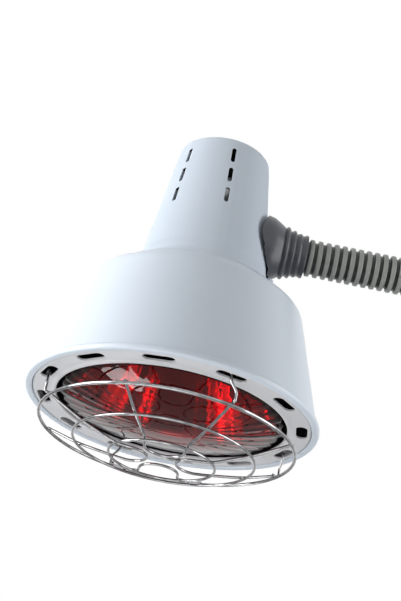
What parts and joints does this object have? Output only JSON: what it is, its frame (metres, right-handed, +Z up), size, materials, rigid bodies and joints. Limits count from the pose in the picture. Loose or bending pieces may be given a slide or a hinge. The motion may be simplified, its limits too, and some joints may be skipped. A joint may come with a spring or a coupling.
{
  "type": "infrared heat therapy lamp",
  "caption": "Heat lamp head with a bell shade, slotted vent ring, ruby reflector bulb, chrome wire guard and vented neck, on a flexible ribbed arm that bends and swivels.",
  "frame": {"origin": "centre of the end face of the arm's ferrule, where the arm seats on what holds it", "axes": "+X points out of the arm's end along the arm, away from the lamp; +Z is up along the lamp's axis, with the opening facing down; +Y completes the right-handed frame"},
  "size_m": [0.4684, 0.1588, 0.191],
  "materials": {
    "white_enamel": "smooth gloss powder coat, cool white",
    "ring_enamel": "smooth satin powder coat, light grey white",
    "chrome_wire": "bright plated wire",
    "zinc_steel": "zinc plated steel",
    "brass": "bare stamped brass",
    "ruby_glass": "polished ruby glass",
    "mirror_glass": "silvered pressed glass",
    "cap_glass": "black glass insulator",
    "porcelain": "glazed porcelain",
    "boot_rubber": "matt dark grey rubber",
    "sleeve_plastic": "satin grey ribbed sleeve",
    "black_plastic": "matt black",
    "lead_brown": "brown lead insulation",
    "lead_blue": "blue lead insulation",
    "lead_green": "green lead insulation",
    "tungsten": "drawn wire"
  },
  "bodies": {
    "arm_end": {"end_ferrule": "boot_rubber", "end_core": "zinc_steel", "end_nipple": "zinc_steel", "end_washer": "zinc_steel", "end_nut": "zinc_steel", "cord_bush": "black_plastic"},
    "link_01": {"core_link_01": "zinc_steel", "sleeve_01": "sleeve_plastic"},
    "link_02": {"core_link_02": "zinc_steel", "sleeve_02": "sleeve_plastic"},
    "link_03": {"core_link_03": "zinc_steel", "sleeve_03": "sleeve_plastic"},
    "link_04": {"core_link_04": "zinc_steel", "sleeve_04": "sleeve_plastic"},
    "link_05": {"core_link_05": "zinc_steel", "sleeve_05": "sleeve_plastic"},
    "link_06": {"core_link_06": "zinc_steel", "sleeve_06": "sleeve_plastic"},
    "link_07": {"core_link_07": "zinc_steel", "sleeve_07": "sleeve_plastic"},
    "link_08": {"core_link_08": "zinc_steel", "sleeve_08": "sleeve_plastic"},
    "link_09": {"core_link_09": "zinc_steel", "sleeve_09": "sleeve_plastic"},
    "link_10": {"core_link_10": "zinc_steel", "sleeve_10": "sleeve_plastic"},
    "link_11": {"core_link_11": "zinc_steel", "sleeve_11": "sleeve_plastic"},
    "link_12": {"core_link_12": "zinc_steel", "sleeve_12": "sleeve_plastic", "swivel_nipple": "zinc_steel", "swivel_washer": "zinc_steel", "swivel_nut": "zinc_steel"},
    "head": {"shade_shell": "white_enamel", "vent_ring": "ring_enamel", "guard_frame": "chrome_wire", "guard_ring": "chrome_wire", "wire_guard": "chrome_wire", "boot": "boot_rubber", "neck_housing": "white_enamel", "neck_rivet_1": "zinc_steel", "neck_rivet_2": "zinc_steel", "neck_rivet_3": "zinc_steel", "holder_body": "porcelain", "holder_shell": "brass", "holder_contact": "brass", "holder_bracket": "zinc_steel", "holder_screw_1": "zinc_steel", "holder_screw_2": "zinc_steel", "bracket_screw_1": "zinc_steel", "bracket_screw_2": "zinc_steel", "lead_live": "lead_brown", "lead_neutral": "lead_blue", "lead_earth": "lead_green"},
    "bulb": {"bulb_lens": "ruby_glass", "bulb_reflector": "mirror_glass", "bulb_filament": "tungsten", "bulb_cap": "brass", "bulb_cap_insulator": "cap_glass", "bulb_tip_contact": "zinc_steel"}
  },
  "joints": [
    {"name": "bend_01", "type": "hinge", "parent": "arm_end", "child": "link_01", "pos_m": [-0.02454, 0, 0], "axis": [0, 1, 0], "range_deg": [-9, 9]},
    {"name": "swing_02", "type": "hinge", "parent": "link_01", "child": "link_02", "pos_m": [-0.04829, 0, 0], "axis": [0, 0, 1], "range_deg": [-9, 9]},
    {"name": "bend_03", "type": "hinge", "parent": "link_02", "child": "link_03", "pos_m": [-0.07204, 0, 0], "axis": [0, 1, 0], "range_deg": [-9, 9]},
    {"name": "swing_04", "type": "hinge", "parent": "link_03", "child": "link_04", "pos_m": [-0.09579, 0, 0], "axis": [0, 0, 1], "range_deg": [-9, 9]},
    {"name": "bend_05", "type": "hinge", "parent": "link_04", "child": "link_05", "pos_m": [-0.11954, 0, 0], "axis": [0, 1, 0], "range_deg": [-9, 9]},
    {"name": "swing_06", "type": "hinge", "parent": "link_05", "child": "link_06", "pos_m": [-0.14329, 0, 0], "axis": [0, 0, 1], "range_deg": [-9, 9]},
    {"name": "bend_07", "type": "hinge", "parent": "link_06", "child": "link_07", "pos_m": [-0.16704, 0, 0], "axis": [0, 1, 0], "range_deg": [-9, 9]},
    {"name": "swing_08", "type": "hinge", "parent": "link_07", "child": "link_08", "pos_m": [-0.19079, 0, 0], "axis": [0, 0, 1], "range_deg": [-9, 9]},
    {"name": "bend_09", "type": "hinge", "parent": "link_08", "child": "link_09", "pos_m": [-0.21454, 0, 0], "axis": [0, 1, 0], "range_deg": [-9, 9]},
    {"name": "swing_10", "type": "hinge", "parent": "link_09", "child": "link_10", "pos_m": [-0.23829, 0, 0], "axis": [0, 0, 1], "range_deg": [-9, 9]},
    {"name": "bend_11", "type": "hinge", "parent": "link_10", "child": "link_11", "pos_m": [-0.26204, 0, 0], "axis": [0, 1, 0], "range_deg": [-9, 9]},
    {"name": "swing_12", "type": "hinge", "parent": "link_11", "child": "link_12", "pos_m": [-0.28579, 0, 0], "axis": [0, 0, 1], "range_deg": [-9, 9]},
    {"name": "head_swivel", "type": "hinge", "parent": "link_12", "child": "head", "pos_m": [-0.33086, 0, 0], "axis": [1, 0, 0], "range_deg": [-90, 90]},
    {"name": "bulb_turn", "type": "hinge", "parent": "head", "child": "bulb", "pos_m": [-0.36716, 0, -0.0107], "axis": [0, 0, 1], "range_deg": [-360, 0]}
  ]
}
